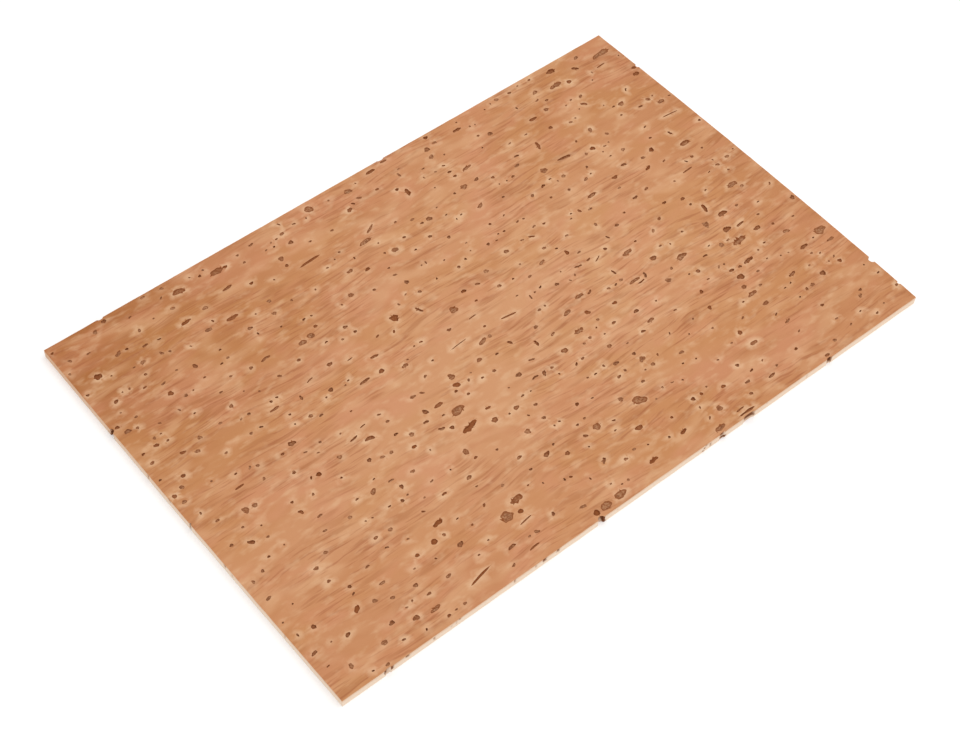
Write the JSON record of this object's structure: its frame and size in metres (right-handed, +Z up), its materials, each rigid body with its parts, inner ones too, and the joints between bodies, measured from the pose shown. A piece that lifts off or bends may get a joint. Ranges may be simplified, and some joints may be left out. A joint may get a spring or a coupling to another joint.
{
  "type": "cork sheet",
  "caption": "Thin rectangular sheet of natural cork, knife-cut from solid bark, with a pored and lightly streaked face and pale trimmed edges.",
  "frame": {"origin": "middle of the underside", "axes": "+X along the long edges and the bark's grain, +Y across the sheet, +Z up out of the pored upper face"},
  "size_m": [0.1508, 0.1, 0.002],
  "materials": {
    "cork": "matte"
  },
  "bodies": {
    "root": {"cork_sheet": "cork"}
  },
  "joints": []
}
